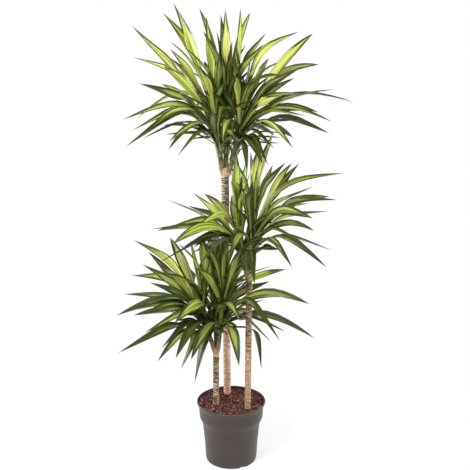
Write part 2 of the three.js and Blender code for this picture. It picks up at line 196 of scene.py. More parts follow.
# %% Selecting and pulling
def only(*pieces):
    """Selects these pieces alone, in object mode, with the last one active."""
    if bpy.context.object is not None and bpy.context.object.mode != "OBJECT":
        bpy.ops.object.mode_set(mode="OBJECT")
    bpy.ops.object.select_all(action="DESELECT")
    for piece in pieces:
        piece.select_set(True)
    bpy.context.view_layer.objects.active = pieces[-1]


def pulled(name, centres, radii, sides):
    """A round body: a disc is pulled from centre to centre and scaled to the radius at each. Its
    corners are numbered ring by ring."""
    facing = (Vector(centres[1]) - Vector(centres[0])).to_track_quat("Z", "Y").to_euler()
    bpy.ops.mesh.primitive_circle_add(
        vertices=sides, radius=radii[0], fill_type="NGON", location=centres[0], rotation=facing
    )
    piece = bpy.context.object
    piece.name = name
    only(piece)
    bpy.ops.object.transform_apply()
    bpy.ops.object.mode_set(mode="EDIT")
    bpy.ops.mesh.select_all(action="SELECT")
    for i in range(1, len(centres)):
        step = Vector(centres[i]) - Vector(centres[i - 1])
        share = radii[i] / radii[i - 1]
        bpy.ops.mesh.extrude_region_move(TRANSFORM_OT_translate={"value": step})
        bpy.ops.transform.resize(value=(share,) * 3, center_override=centres[i])
    bpy.ops.mesh.select_all(action="SELECT")
    bpy.ops.mesh.normals_make_consistent(inside=False)
    bpy.ops.object.mode_set(mode="OBJECT")
    return piece


def turned(name, outline, sides):
    """A turned body from its outline of (radius, height) points, in millimetres."""
    centres = [(0, 0, height * MM) for _, height in outline]
    return pulled(name, centres, [radius * MM for radius, _ in outline], sides)


def apply_modifier(piece, kind, **settings):
    """Adds a modifier to a piece and applies it."""
    only(piece)
    modifier = piece.modifiers.new(kind.title(), kind)
    for name, value in settings.items():
        setattr(modifier, name, value)
    bpy.ops.object.modifier_apply(modifier=modifier.name)


def smooth(piece, degrees):
    """Shades a piece smooth, but for the edges that are sharper than this."""
    only(piece)
    bpy.ops.object.shade_smooth_by_angle(angle=math.radians(degrees))


def finish_piece(piece, slot, *nodes):
    """The piece stands for these solids, if any. slot is not used."""
    if nodes:
        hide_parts(*nodes)
    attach(piece, "root")
    print(piece.name, "has", len(piece.data.polygons), "faces")


# %% [markdown]
# ## Pot plastic
#
# The pot is polypropylene with a little carbon black and ochre in it, shot into a spark-eroded
# mould. That leaves a satin skin with a very fine grain, slightly uneven in tone where the melt
# flowed, and paler where the lip has been rubbed by other pots in a stack.


# %% Pot plastic
MELT_FLOW = 60.0  # size of the uneven tones, in millimetres
MOULD_GRAIN = 1.2  # as coarse as it needs to be to show. The real one is about a tenth of this
RUBBED_LIP = (0.2435, 0.2465)  # heights in metres, from plain to rubbed


def make_pot_plastic(name, dark, light, worn, roughness):
    """Moulded polypropylene: satin, taupe grey, with an eroded grain and a rubbed lip."""
    material, tree, shader = new_material(name, roughness, 1.49)
    place = add(tree, "ShaderNodeTexCoord").outputs["Object"]
    melt = {"Vector": place, "Scale": 1 / (MELT_FLOW * MM), "Detail": 3.0}
    flow = add(tree, "ShaderNodeTexNoise", melt)
    grain = add(tree, "ShaderNodeTexNoise", {"Vector": place, "Scale": 1 / (MOULD_GRAIN * MM)})
    tones = {"Factor": flow, "A": colour(dark), "B": colour(light)}
    body = add(tree, "ShaderNodeMix", tones, data_type="RGBA")
    height = add(tree, "ShaderNodeSeparateXYZ", {0: place}).outputs["Z"]
    plain, full = RUBBED_LIP
    lip = {"Value": height, "From Min": plain, "From Max": full, "To Max": worn}
    rubbed = add(tree, "ShaderNodeMapRange", lip)
    tones = {"Factor": rubbed, "A": body, "B": colour("#6c6463")}
    skin = add(tree, "ShaderNodeMix", tones, data_type="RGBA")
    relief = {"Strength": 0.25, "Distance": 0.0003, "Height": grain}
    bump = add(tree, "ShaderNodeBump", relief)
    feed(shader, {"Base Color": skin, "Normal": bump})
    return material


pot_plastic = make_pot_plastic("moulded polypropylene", "#342b2a", "#403433", 0.3, 0.46)
# The inner wall takes a much darker copy of the plastic, with no rubbed lip: painted shade for the inside
# of the pot.
pot_inside_painted_shade = make_pot_plastic("polypropylene, painted shade inside", "#1a1312", "#271d1b", 0.0, 0.6)
print("made", pot_plastic.name, "and", pot_inside_painted_shade.name)

# %% [markdown]
# ## Pot
#
# A nursery pot is one thin moulding: a foot ring with gaps that let the water out, a straight
# taper so that pots stack and release from the mould, a shoulder, a collar to grip, and a lip
# that rolls outwards. Its outline is rounded at each corner by a small arc, as any moulding is.
# The drainage holes and the gaps are cut with Boolean modifiers, because they run across the
# outline.

# %% Pot
POT_SIDES = 128
POT_WALL = 2.2
POT_FLOOR = (8.0, 11.0)  # underside and upper side
# Corners of the outline, outside and inside: radius, height and rounding, in millimetres.
POT_OUTSIDE = [
    (30, 0, 0), (32, 8, 1.5), (86, 8, 1.5), (88, 0, 1), (98.5, 0, 2), (101.5, 8, 6),
    (105, 74, 0), (113.3, 158, 8), (125, 183, 7), (127, 226, 4), (134, 238, 2), (135, 242, 1),
]
POT_INSIDE = [
    (135, 247, 2.4), (129.5, 247, 2.4), (124.8, 226, 4), (122.8, 183, 3), (111.1, 158, 3),
    (102.8, 74, 0), (99, 11, 4),
]
DRAINS = 6
DRAIN_RADIUS = 6.0
DRAIN_CIRCLE = 58.0
DRAIN_DEPTH = 20.0  # of the cutter, which goes right through the floor
NOTCHES = 3  # gaps in the foot ring
NOTCH_TURN = 0.465  # as a share of the step between two, so that one sits as in the photo
NOTCH_SIZE = (28.0, 18.0, 10.0)  # through the ring, along it, and twice its height
NOTCH_CIRCLE = 95.0


def rounded(corners, steps=4):
    """Outline points with every corner rounded by an arc that starts its rounding away from it."""
    points = [corners[0][:2]]
    for before, corner, after in zip(corners, corners[1:], corners[2:]):
        middle = Vector(corner[:2])
        if corner[2] == 0:
            points.append(tuple(middle))
            continue
        start = middle + (Vector(before[:2]) - middle).normalized() * corner[2]
        end = middle + (Vector(after[:2]) - middle).normalized() * corner[2]
        for i in range(steps + 1):
            t = i / steps
            points.append(tuple(start * (1 - t) ** 2 + middle * 2 * t * (1 - t) + end * t**2))
    points.append(corners[-1][:2])
    return points


def around(circle, turn, height):
    """A point at a radius and a height in millimetres, turned about the pot's axis."""
    return Vector((circle * math.cos(turn), circle * math.sin(turn), height)) * MM


pot = turned("nursery_pot", rounded(POT_OUTSIDE + POT_INSIDE), POT_SIDES)
cutters = []
for i in range(DRAINS):
    spot = around(DRAIN_CIRCLE, 2 * math.pi * (i + 0.5) / DRAINS, POT_FLOOR[1])
    bpy.ops.mesh.primitive_cylinder_add(
        vertices=24, radius=DRAIN_RADIUS * MM, depth=DRAIN_DEPTH * MM, location=spot
    )
    cutters.append(bpy.context.object)
for i in range(NOTCHES):
    turn = 2 * math.pi * (i + NOTCH_TURN) / NOTCHES
    spot = around(NOTCH_CIRCLE, turn, 0)
    bpy.ops.mesh.primitive_cube_add(size=MM, location=spot, rotation=(0, 0, turn))
    cutters.append(bpy.context.object)
    cutters[-1].scale = NOTCH_SIZE
for cutter in cutters:
    apply_modifier(pot, "BOOLEAN", operation="DIFFERENCE", object=cutter, solver="EXACT")
    bpy.data.objects.remove(cutter)
smooth(pot, 40)
pot.data.materials.append(pot_plastic)
pot.data.materials.append(pot_inside_painted_shade)
# Faces that look inwards above the floor take the darker copy: painted shade on the inner wall.
for face in pot.data.polygons:
    outwards = face.normal.x * face.center.x + face.normal.y * face.center.y
    face.material_index = int(outwards < 0 and face.center.z > POT_FLOOR[1] * MM)
finish_piece(pot, "pot", "pot")

# %% [markdown]
# ## Lines that the limbs follow
#
# The solids' canes and shoots follow smooth lines through a few points. The same line is used
# here: a Catmull-Rom curve, which passes through its points, walked by its length.


# %% A smooth line
class Line:
    """A centripetal Catmull-Rom curve through points in millimetres, walked by its length."""

    SAMPLES = 200

    def __init__(self, points):
        points = np.array(points, float) * MM
        self.spans = len(points) - 1
        self.points = np.vstack([2 * points[0] - points[1], points, 2 * points[-1] - points[-2]])
        self.steps = np.linspace(0, 1, self.SAMPLES + 1)
        marks = np.array([self.raw(t) for t in self.steps])
        legs = np.linalg.norm(np.diff(marks, axis=0), axis=1)
        self.walked = np.concatenate([[0], np.cumsum(legs)])
        self.length = self.walked[-1]

    def raw(self, t):
        """The point at a parameter from 0 to 1."""
        i = min(int(t * self.spans), self.spans - 1)
        x = t * self.spans - i
        p0, p1, p2, p3 = self.points[i:i + 4]
        d0, d1, d2 = (math.sqrt(np.linalg.norm(leg)) for leg in (p1 - p0, p2 - p1, p3 - p2))
        m1 = ((p1 - p0) / d0 - (p2 - p0) / (d0 + d1) + (p2 - p1) / d1) * d1
        m2 = ((p2 - p1) / d1 - (p3 - p1) / (d1 + d2) + (p3 - p2) / d2) * d1
        bend = 3 * (p2 - p1) - 2 * m1 - m2
        return p1 + m1 * x + bend * x**2 + (2 * (p1 - p2) + m1 + m2) * x**3

    def at(self, share):
        """The point at a share of the length."""
        t = np.interp(share * self.length, self.walked, self.steps)
        return Vector(self.raw(t))

    def heading(self, share):
        """The direction at a share of the length."""
        return (self.at(min(share + 0.01, 1)) - self.at(max(share - 0.01, 0))).normalized()


def random_from(seed):
    """The solids' own sequence of numbers from 0 to 1, so that both draw alike."""
    state = seed
    while True:
        state = (state * 1664525 + 1013904223) % 2**32
        yield state / 2**32


CANES = {  # radius and line of each cane, in millimetres
    "tall": (14.5, [[-14, 80, 84], [-18, 90, 500], [-20, 89, 900], [-23, 88, 1160]]),
    "middle": (12, [[64, -48, 84], [66, -48, 450], [69, -48, 782]]),
    "short": (12, [[-60, -13, 84], [-59, -13, 300], [-58, -13, 478]]),
}
cane_lines = {name: Line(points) for name, (_, points) in CANES.items()}
print("canes:", {name: round(line.length, 3) for name, line in cane_lines.items()})

# %% [markdown]
# ## Soil
#
# Under the lip lies a coarse mix of shredded bark and coco fibre, reddish brown, and open enough
# to look down between the bits. A flat disc with a bumpy finish would look like felt, so the body
# of the soil is a lumpy surface with a hole for each cane, and on it lie several hundred separate
# bits: a few modelled once and copied, each with its own place and tilt, and some coco fibres.


# %% Soil finishes
def make_litter(name, dark, light, grain):
    """Damp bark: rough, dull, mottled at the size of its grain, in millimetres."""
    material, tree, shader = new_material(name, 0.88, 1.4)
    place = add(tree, "ShaderNodeTexCoord").outputs["Object"]
    spread = {"Vector": place, "Scale": 1 / (grain * MM), "Detail": 4.0, "Roughness": 0.65}
    mottle = add(tree, "ShaderNodeTexNoise", spread)
    tone = add(tree, "ShaderNodeMapRange", {"Value": mottle, "From Min": 0.35, "From Max": 0.65})
    tones = {"Factor": tone, "A": colour(dark), "B": colour(light)}
    skin = add(tree, "ShaderNodeMix", tones, data_type="RGBA")
    relief = {"Strength": 0.8, "Distance": 0.0015, "Height": mottle}
    bump = add(tree, "ShaderNodeBump", relief)
    feed(shader, {"Base Color": skin, "Normal": bump})
    return material


damp_soil = make_litter("damp potting mix", "#240e0b", "#46261f", 6)
bark_finishes = [
    make_litter("shredded bark, dark", "#2e1511", "#563229", 9),
    make_litter("shredded bark, red", "#522a24", "#7f4d40", 9),
    make_litter("shredded bark, dry", "#6e4639", "#a2796a", 9),
]
fibre_finish = make_litter("coco fibre", "#5a3829", "#8a664d", 12)
print("made", 2 + len(bark_finishes), "soil finishes")

# %% Soil body
SOIL_TOP = 237.0
SOIL_SIDES = 96
SOIL_RINGS = 14
SOIL_FOOT = 97.0  # radius on the pot's floor
SOIL_SIDE = [(105, 74), (113, 158), (125, 183), (127, 226)]  # of the pot around the soil
SOIL_LUMP = 0.011  # metres from hollow to crest
LUMP_SIZE = 0.022
HOLE_ROOM = 1.0  # around a cane
HOLE_DEPTH = 270.0  # from the foot of the cane, which is more than it takes to come out on top
CLEAR = 0.3  # between the soil and the pot

soil_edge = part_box("soil")[1].x / MM
inset = POT_WALL + CLEAR
soil_outline = [(SOIL_FOOT - CLEAR, POT_FLOOR[1] + CLEAR)]
soil_outline += [(radius - inset, height) for radius, height in SOIL_SIDE]
soil_outline += [(soil_edge * (1 - i / SOIL_RINGS), SOIL_TOP) for i in range(SOIL_RINGS)]
soil = turned("soil_bed", soil_outline, SOIL_SIDES)
lumps = bpy.data.textures.new("lumps", "CLOUDS")
lumps.noise_scale = LUMP_SIZE
lumps.noise_depth = 3
top_group = soil.vertex_groups.new(name="top")
for vertex in soil.data.vertices:
    reach = math.hypot(vertex.co.x, vertex.co.y) / (soil_edge * MM)
    if vertex.co.z > (SOIL_TOP - 1) * MM:
        top_group.add([vertex.index], min(1.0, 3 * (1 - reach)), "REPLACE")
apply_modifier(
    soil, "DISPLACE", texture=lumps, strength=SOIL_LUMP, direction="Z",
    vertex_group="top", texture_coords="GLOBAL",
)
soil_surface = BVHTree.FromObject(soil, bpy.context.evaluated_depsgraph_get())
for name, (radius, _) in CANES.items():
    line = cane_lines[name]
    shares = [HOLE_DEPTH * MM / line.length * i / 4 for i in range(5)]
    way = [line.at(share) - UP * CLEAR * MM for share in shares]
    hole = pulled("hole", way, [(radius + HOLE_ROOM) * MM] * len(way), 24)
    apply_modifier(soil, "BOOLEAN", operation="DIFFERENCE", object=hole, solver="EXACT")
    bpy.data.objects.remove(hole)
smooth(soil, 50)
soil.data.materials.append(damp_soil)
finish_piece(soil, "soil", "soil")

# %% Bits of bark and fibre
BITS = 1100
BIT_LENGTH = (4.5, 15.0)
FIBRES = 110
FIBRE_LENGTH = (20.0, 38.0)
GOLDEN_ANGLE = 137.5
FEW_LONG = 1.6  # power over 1, which makes short ones more common
TURN_SPREAD = 0.5  # radians
BIT_RISE = 0.12  # of its middle over the soil, as a share of its length
BIT_ROOM = 0.3  # around a cane, as a share of its length
CANE_IN_SOIL = 150.0
EDGE_ROOM = 3.0  # how far inside the soil's edge the last bits lie, and how far over it they reach


def between(ends, share):
    """The value at a share of the way between two."""
    return ends[0] + (ends[1] - ends[0]) * share


def joined(name, pieces):
    """Joins pieces into one."""
    only(*pieces)
    bpy.ops.object.join()
    whole = bpy.context.object
    whole.name = name
    return whole


def copy_of(master, place):
    """A copy of a piece with its own mesh, moved by a matrix."""
    piece = master.copy()
    piece.data = master.data.copy()
    piece.data.transform(place)
    bpy.context.scene.collection.objects.link(piece)
    return piece


def make_bit(number):
    """A chip of bark, one unit long: a ball flattened to a flake, with its corners shaken."""
    bpy.ops.mesh.primitive_ico_sphere_add(subdivisions=1, radius=0.5)
    bit = bpy.context.object
    bit.scale = (1.0, 0.42 + 0.12 * (number % 3), 0.24 + 0.08 * (number % 2))
    only(bit)
    bpy.ops.object.transform_apply()
    bpy.ops.object.mode_set(mode="EDIT")
    bpy.ops.mesh.select_all(action="SELECT")
    bpy.ops.transform.vertex_random(offset=0.09, seed=number)
    bpy.ops.object.mode_set(mode="OBJECT")
    return bit


def make_fibre(number):
    """A coco fibre: a thin strand, one unit long, that wanders as it lies."""
    steps = 6
    centres = [
        (i / steps - 0.5, 0.09 * math.sin(number + 1.9 * i), 0.05 * math.sin(2 * number + 1.3 * i))
        for i in range(steps + 1)
    ]
    return pulled("fibre", centres, [0.014] * (steps + 1), 4)


def scatter(masters, count, lengths, draw, tilt, finishes):
    """Copies of the masters all over the soil, by the golden angle, each with its own tilt."""
    pieces = []
    for i in range(count):
        reach = (soil_edge - EDGE_ROOM) * MM * math.sqrt((i + 0.5) / count)
        turn = math.radians(i * GOLDEN_ANGLE) + TURN_SPREAD * next(draw)
        x, y = reach * math.cos(turn), reach * math.sin(turn)
        length = between(lengths, next(draw) ** FEW_LONG) * MM
        lean = Euler((tilt * (next(draw) - 0.5), tilt * (next(draw) - 0.5), 6.3 * next(draw)))
        finish = finishes[int(next(draw) * len(finishes))]
        room = {name: CANES[name][0] * MM + BIT_ROOM * length for name in CANES}
        buried = any(math.dist((x, y), foot) < room[name] for name, foot in cane_feet.items())
        found = soil_surface.ray_cast(Vector((x, y, 1)), -UP)[0]
        if buried or found is None or reach + length / 2 > (soil_edge + EDGE_ROOM) * MM:
            continue
        place = Matrix.LocRotScale(found + UP * BIT_RISE * length, lean, (length,) * 3)
        piece = copy_of(masters[i % len(masters)], place)
        piece.data.materials.clear()
        piece.data.materials.append(finish)
        pieces.append(piece)
    return pieces


cane_feet = {
    name: tuple(line.at(CANE_IN_SOIL * MM / line.length).xy) for name, line in cane_lines.items()
}
draw = random_from(21)
bit_masters = [make_bit(number) for number in range(6)]
fibre_masters = [make_fibre(number) for number in range(3)]
bits = scatter(bit_masters, BITS, BIT_LENGTH, draw, 1.5, bark_finishes)
fibres = scatter(fibre_masters, FIBRES, FIBRE_LENGTH, draw, 0.35, [fibre_finish])
for master in bit_masters + fibre_masters:
    bpy.data.objects.remove(master)
print("scattered", len(bits), "bits and", len(fibres), "fibres")
finish_piece(joined("bark_bits", bits), "soil")
finish_piece(joined("coco_fibres", fibres), "soil")

# %% [markdown]
# ## Bark
#
# The canes are old stems, cut to length and rooted, with thin dry bark. Every leaf that the stem
# once carried has left a narrow ring. The skin is pinkish tan with darker flecks, and where the
# green layer under it shows through, it is cream with broken olive marks that lie level. A height
# map of rings would do for a distant view, but the rings catch the light on the outline too, so
# they are in the mesh, and the finish reads from attributes where they are (scar) and where the
# green shows (green).


# %% Bark finishes
FLECK = (10.0, 2.4)  # size in millimetres, and how many times wider than high
OLIVE_MARK = (24.0, 5.0)


def make_bark(name, pale, warm, cream, mark, scar):
    """Dry bark: pale and warm skin, cream skin and marks where the green shows, and scars."""
    material, tree, shader = new_material(name, 0.82)
    place = add(tree, "ShaderNodeTexCoord").outputs["Object"]
    patterns = []
    for (size, flatness), detail in ((FLECK, 4.0), (OLIVE_MARK, 3.0)):
        level = add(tree, "ShaderNodeMapping", {"Vector": place, "Scale": (1.0, 1.0, flatness)})
        look = {"Vector": level, "Scale": 1 / (size * MM), "Detail": detail, "Roughness": 0.65}
        patterns.append(add(tree, "ShaderNodeTexNoise", look))
    fleck, blotch = patterns
    green = add(tree, "ShaderNodeAttribute", attribute_name="green").outputs["Fac"]
    ring = add(tree, "ShaderNodeAttribute", attribute_name="scar").outputs["Fac"]
    tone = add(tree, "ShaderNodeMapRange", {"Value": fleck, "From Min": 0.40, "From Max": 0.60})
    skin = {"Factor": tone, "A": colour(warm), "B": colour(pale)}
    skin = add(tree, "ShaderNodeMix", skin, data_type="RGBA")
    creamy = add(tree, "ShaderNodeMath", {0: green, 1: 0.75}, operation="MULTIPLY")
    over = add(tree, "ShaderNodeMath", {0: green, 1: 0.22, 2: blotch}, operation="MULTIPLY_ADD")
    span = {"Value": over, "From Min": 0.64, "From Max": 0.73, "To Max": 0.92}
    marked = add(tree, "ShaderNodeMapRange", span, interpolation_type="SMOOTHSTEP")
    broken = add(tree, "ShaderNodeMath", {0: ring, 1: tone}, operation="MULTIPLY")
    faint = add(tree, "ShaderNodeMath", {0: broken, 1: 0.6}, operation="MULTIPLY")
    for share, shade in ((creamy, cream), (marked, mark), (faint, scar)):
        layer = {"Factor": share, "A": skin, "B": colour(shade)}
        skin = add(tree, "ShaderNodeMix", layer, data_type="RGBA")
    bump = add(tree, "ShaderNodeBump", {"Strength": 0.7, "Distance": 0.0012, "Height": fleck})
    feed(shader, {"Base Color": skin, "Normal": bump})
    return material


bark = {
    "tall": make_bark("dry bark, pink", "#f6cfb2", "#a77056", "#d0c09c", "#35321f", "#7d5645"),
    "middle": make_bark("dry bark, tan", "#d0ad8c", "#7f5e46", "#b89a75", "#453322", "#74513a"),
    "short": make_bark("dry bark, cream", "#deb08e", "#9c6c4e", "#dbc6a2", "#3b311b", "#6b5138"),
}
callus_bark = make_bark("callus", "#d2a688", "#9b6d54", "#c9a686", "#4a3024", "#6e4632")
shoot_bark = make_bark("young bark", "#a08d69", "#65543d", "#6c6f45", "#34331d", "#40362a")
print("made", len(bark) + 2, "bark finishes")

# %% [markdown]
# ## Canes
#
# A cane swells a little at its cut top, where the shoots have broken out of a knobbly callus. The
# foot of a shoot is still bare and closely ringed. It starts inside the cane and widens as it
# comes out, so that it looks grown and not stuck on. The callus is a lump for each shoot, roughened
# with a Displace modifier. The leaves hide the upper end of the foot.

# %% Canes
CANE_SIDES = 20
SCARS = {"tall": 17.0, "middle": 15.0, "short": 14.0}  # mean spacing, millimetres
SCAR_RISE = 0.35
RING = [(0.0, 0.4, 0.5), (0.1, 1.0, 1.0), (0.24, -0.4, 0.2), (0.6, -0.1, 0.0)]  # part, rise, mark
SHOOT_SCARS = 6.5
SHOOT_SIDES = 16
FOOT_DEPTH = 36.0  # how far down inside the cane a foot starts
FOOT_SHARES = (0, 0.35, 0.6, 1)  # of a foot, and its radii there
FOOT_GREEN = ((0.4, 0.7), (0, 1))  # shares of a foot, and how much green shows
FOOT_RADII = {"tall": (5, 10.5, 10, 9.5), "middle": (5, 11.5, 10, 9), "short": (5, 10, 8.5, 8)}
SWELLING = 0.16
SWELLING_HEIGHT = 26.0
CUT_EDGE = 0.2  # the cut top narrows by this share of the radius, over this share of the swelling
KNEE = 0.36  # share of a shoot where the solid's head begins
CALLUS_RADIUS = 8.5
CALLUS_STRETCH = 2.3
KNOB_RISE = 5.0
KNOB_SIZE = 0.009  # metres
# Heights in metres, and how much of the green layer shows there.
GREEN = {
    "tall": ([0.95, 1.02, 1.125, 1.14], [0, 1.05, 1.1, 0]),
    "middle": ([0.44, 0.50, 0.745, 0.76], [0, 0.8, 0.8, 0]),
    "short": ([0.24, 0.33, 0.38, 0.435, 0.445], [0.95, 0.98, 1.06, 1.06, 0]),
}

# The lines of the shoots, from the foot inside the cane over the knee to the top.
SHOOTS = {
    "tall_left": ("tall", [[-33, 84, 1140], [-42, 79, 1222], [-62, 70, 1370]]),
    "tall_back": ("tall", [[-20, 97, 1140], [-18, 103, 1225], [-10, 118, 1385]]),
    "tall_right": ("tall", [[-13, 83, 1132], [14, 74, 1218], [40, 62, 1360]]),
    "middle_left": ("middle", [[63, -50, 765], [50, -54, 838], [28, -60, 955]]),
    "middle_right": ("middle", [[73, -47, 768], [76, -48, 842], [80, -50, 975]]),
    "short_left": ("short", [[-64, -14, 462], [-84, -17, 528], [-110, -21, 640]]),
    "short_back": ("short", [[-57, -5, 462], [-60, 2, 540], [-66, 16, 670]]),
    "short_right": ("short", [[-52, -19, 462], [-42, -22, 540], [-30, -26, 680]]),
}
shoot_lines = {name: Line(points) for name, (_, points) in SHOOTS.items()}
print("shoots:", {name: round(line.length, 3) for name, line in shoot_lines.items()})


# %% Limbs with rings
def note(piece, name, values):
    """Notes a value on every corner of a piece, for its finish to read."""
    attribute = piece.data.attributes.new(name, "FLOAT", "POINT")
    attribute.data.foreach_set("value", values)


def ringed(name, line, spacing, sides, radius_at, green_at, draw):
    """A limb with a raised ring wherever a leaf has fallen. radius_at gives its radius, in metres,
    and green_at how much green shows, at a share of the line."""
    marks, walked = [], 0
    while walked < line.length:
        step = spacing * (0.5 + next(draw)) * MM
        marks += [((walked + part * step) / line.length, rise, mark) for part, rise, mark in RING]
        walked += step
    marks = [each for each in marks if each[0] < 0.995] + [(1, 0, 0)]
    centres = [line.at(share) for share, _, _ in marks]
    radii = [radius_at(share) + rise * SCAR_RISE * MM for share, rise, _ in marks]
    limb = pulled(name, centres, radii, sides)
    note(limb, "scar", [mark for _, _, mark in marks for _ in range(sides)])
    note(limb, "green", [green_at(share) for share, _, _ in marks for _ in range(sides)])
    return limb


def make_cane(name, draw):
    """The bare cane."""
    radius, line = CANES[name][0] * MM, cane_lines[name]

    def radius_at(share):
        below = (1 - share) * line.length / (SWELLING_HEIGHT * MM)
        return radius * (1 + SWELLING * math.exp(-(below**2)) - max(0, CUT_EDGE - below))

    def green_at(share):
        return float(np.interp(line.at(share).z, *GREEN[name]))

    cane = ringed("cane", line, SCARS[name], CANE_SIDES, radius_at, green_at, draw)
    cane.data.materials.append(bark[name])
    return cane


def make_foot(shoot, draw):
    """The bare foot of a shoot, from inside the cane up to its knee."""
    radii = FOOT_RADII[SHOOTS[shoot][0]]
    top, line = cane_lines[SHOOTS[shoot][0]], shoot_lines[shoot]
    inside = top.at(1 - FOOT_DEPTH * MM / top.length)
    way = [inside, line.at(0.06), line.at(0.2), line.at(KNEE)]
    foot = ringed(
        "foot", Line([point / MM for point in way]), SHOOT_SCARS, SHOOT_SIDES,
        lambda share: float(np.interp(share, FOOT_SHARES, radii)) * MM,
        lambda share: float(np.interp(share, *FOOT_GREEN)), draw,
    )
    foot.data.materials.append(shoot_bark)
    return foot


def make_callus(shoot):
    """The knobbly swelling that a shoot has broken out of."""
    spot = shoot_lines[shoot].at(0.05)
    bpy.ops.mesh.primitive_ico_sphere_add(subdivisions=4, radius=CALLUS_RADIUS * MM, location=spot)
    lump = bpy.context.object
    lump.scale = (1, 1, CALLUS_STRETCH)
    only(lump)
    bpy.ops.object.transform_apply()
    rise = KNOB_RISE * MM
    apply_modifier(lump, "DISPLACE", texture=knobs, strength=rise, texture_coords="GLOBAL")
    lump.data.materials.append(callus_bark)
    return lump


# %% Making the canes
knobs = bpy.data.textures.new("knobs", "CLOUDS")
knobs.noise_scale = KNOB_SIZE
draw = random_from(31)
for name in CANES:
    own = [shoot for shoot, (cane, _) in SHOOTS.items() if cane == name]
    limbs = [make_foot(shoot, draw) for shoot in own]
    limbs += [make_callus(shoot) for shoot in own]
    cane = joined(f"bark_cane_{name}", limbs + [make_cane(name, draw)])
    smooth(cane, 60)
    finish_piece(cane, "bark", f"cane_{name}")

# %% [markdown]
# ## Leaf finish
#
# A leaf is waxy and leathery. Its upper face is dark green along both margins, with a lime band
# between them that is made of many fine stripes and closes towards the tip. The underside is the
# same, but dull. The stripes run along the blade, so the pattern follows the blade's own UV map:
# U runs across it and V from root to tip. Two attributes set each leaf apart: age makes the band
# narrower and greener, and draw shifts its stripes and its hue.

# %% Leaf finishes
OLD_GREEN = "#5b6a35"  # of the band of the oldest leaves
STRIPES = 7.0  # across a blade, so about 5 mm each, which is as fine as the picture shows
STRIPE_CHANGE = 1.4  # how often a stripe changes along a blade
WAX_SHINE = 0.42  # a little under the usual 0.5
CLOSING = 0.72  # share of a blade from which the band closes
DRY_TIP = (0.93, "#3f3f2a")  # share of a blade where it begins, and its colour


def make_leaf(name, lime, olive, green, margin, pale, band, roughness):
    """Waxy leaf skin. The band is lime or olive, and band is its half width as a share of the
    blade's. Old leaves turn green, the margins are dark, and the root is pale."""
    material, tree, shader = new_material(name, roughness)
    feed(shader, {"Specular IOR Level": WAX_SHINE})
    spot = add(tree, "ShaderNodeSeparateXYZ", {0: add(tree, "ShaderNodeUVMap")})
    across, along = spot.outputs["X"], spot.outputs["Y"]
    draw = add(tree, "ShaderNodeAttribute", attribute_name="draw").outputs["Fac"]
    age = add(tree, "ShaderNodeAttribute", attribute_name="age").outputs["Fac"]

    # Noise that is drawn out along the blade, shifted from leaf to leaf.
    shift = add(tree, "ShaderNodeMath", {0: draw, 1: 50.0}, operation="MULTIPLY")
    x = {0: across, 1: STRIPES, 2: shift}
    y = {0: along, 1: STRIPE_CHANGE, 2: shift}
    x, y = (add(tree, "ShaderNodeMath", each, operation="MULTIPLY_ADD") for each in (x, y))
    where = add(tree, "ShaderNodeCombineXYZ", {"X": x, "Y": y})
    stripes = add(tree, "ShaderNodeTexNoise", {"Vector": where, "Scale": 1.0, "Detail": 2.0})

    # How far a point is outside the band: the distance from the midrib, made ragged by the
    # stripes, and more on old leaves and near the tip.
    offset = add(tree, "ShaderNodeMath", {0: across, 1: 2.0, 2: -1.0}, operation="MULTIPLY_ADD")
    edge = add(tree, "ShaderNodeMath", {0: offset}, operation="ABSOLUTE")
    ragged = add(tree, "ShaderNodeMath", {0: stripes, 1: 1.3, 2: edge}, operation="MULTIPLY_ADD")
    near_tip = {"Value": along, "From Min": CLOSING, "From Max": 1.0, "To Max": 0.7}
    closing = add(tree, "ShaderNodeMapRange", near_tip, interpolation_type="SMOOTHSTEP")
    aged = add(tree, "ShaderNodeMath", {0: age, 1: 0.66, 2: closing}, operation="MULTIPLY_ADD")
    over = add(tree, "ShaderNodeMath", {0: ragged, 1: aged}, operation="ADD")
    span = {"Value": over, "From Min": band + 0.5, "From Max": band + 0.8}
    outside = add(tree, "ShaderNodeMapRange", span, interpolation_type="SMOOTHSTEP")

    # The band: a hue of its own for each leaf, green stripes, greener with age, pale at the root.
    hue = {"Factor": draw, "A": colour(lime), "B": colour(olive)}
    skin = add(tree, "ShaderNodeMix", hue, data_type="RGBA")
    streaks = {"Value": stripes, "From Min": 0.42, "From Max": 0.6, "To Max": 0.85}
    streak = add(tree, "ShaderNodeMapRange", streaks)
    old = add(tree, "ShaderNodeMath", {0: age, 1: 0.95}, operation="MULTIPLY")
    root = {"Value": along, "From Min": 0.24, "From Max": 0.02, "To Max": 0.6}
    root = add(tree, "ShaderNodeMapRange", root)
    for share, shade in ((streak, green), (old, OLD_GREEN), (root, pale)):
        layer = {"Factor": share, "A": skin, "B": colour(shade)}
        skin = add(tree, "ShaderNodeMix", layer, data_type="RGBA")

    # The margins, with a little of the green in their stripes, and the dry tip.
    veins = add(tree, "ShaderNodeMapRange", {"Value": stripes, "From Min": 0.4, "To Max": 0.8})
    dark = {"Factor": veins, "A": colour(margin), "B": colour(green)}
    dark = add(tree, "ShaderNodeMix", dark, data_type="RGBA")
    dry_from, dry = DRY_TIP
    tip = {"Value": along, "From Min": dry_from, "From Max": 1.0, "To Max": 0.8}
    tip = add(tree, "ShaderNodeMapRange", tip)
    for share, shade in ((outside, dark), (tip, colour(dry))):
        layer = {"Factor": share, "A": skin, "B": shade}
        skin = add(tree, "ShaderNodeMix", layer, data_type="RGBA")
    bump = add(tree, "ShaderNodeBump", {"Strength": 0.5, "Distance": 0.0006, "Height": stripes})
    feed(shader, {"Base Color": skin, "Normal": bump})
    return material


